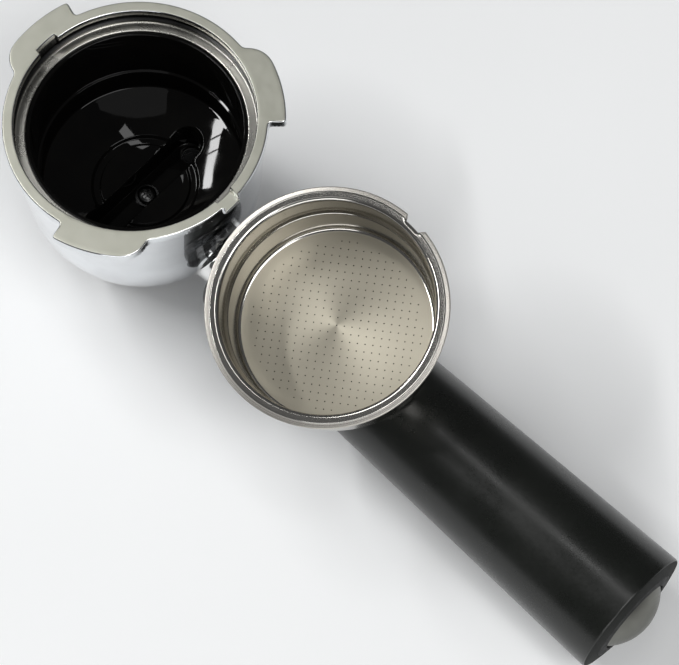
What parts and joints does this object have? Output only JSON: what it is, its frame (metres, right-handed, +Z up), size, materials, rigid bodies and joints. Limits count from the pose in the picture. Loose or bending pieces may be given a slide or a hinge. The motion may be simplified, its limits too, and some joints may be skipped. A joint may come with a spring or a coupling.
{
  "type": "espresso filter holder with basket",
  "caption": "Chromed filter holder with bayonet lugs, black lined cup, twin spout and tapered black handle, and a perforated steel basket resting on the handle.",
  "frame": {"origin": "centre of the locking ring's top face, on the cup's axis", "axes": "+Z up along the cup's axis, +X from the cup along the handle, +Y to the handle's left"},
  "size_m": [0.2117, 0.0728, 0.0711],
  "materials": {
    "chrome_body": "bright chrome plate, satin on the ring's top face",
    "collar_dark": "blackened, satin",
    "liner_plastic": "glossy moulded black",
    "seal_rubber": "matt silicone",
    "fastener_steel": "turned stainless steel",
    "fastener_dark": "blackened, turned",
    "spout_plastic": "fine moulded black",
    "insert_brass": "turned brass",
    "grip_plastic": "satin black with a soft highlight",
    "plug_plastic": "satin black",
    "cap_metal": "satin metal dome",
    "basket_steel": "bright drawn wall, spun floor with fine perforations"
  },
  "bodies": {
    "holder": {"filter_holder": "chrome_body", "neck_stem": "chrome_body", "liner": "liner_plastic", "liner_gasket": "seal_rubber", "centre_screw": "fastener_dark", "screw_washer": "fastener_dark", "spout_seal": "seal_rubber", "twin_spout": "spout_plastic", "spout_insert": "insert_brass", "neck_collar": "collar_dark", "handle_grip": "grip_plastic", "tie_rod": "fastener_steel", "rod_washer": "fastener_steel", "spring_washer": "fastener_steel", "rod_nut": "fastener_steel", "end_plug": "plug_plastic", "end_cap": "cap_metal"},
    "basket": {"basket_cup": "basket_steel", "basket_base": "basket_steel"}
  },
  "joints": [
    {"name": "basket_lift", "type": "slide", "parent": "holder", "child": "basket", "axis": [0, 0, 1], "range_m": [0, 0.06]}
  ]
}
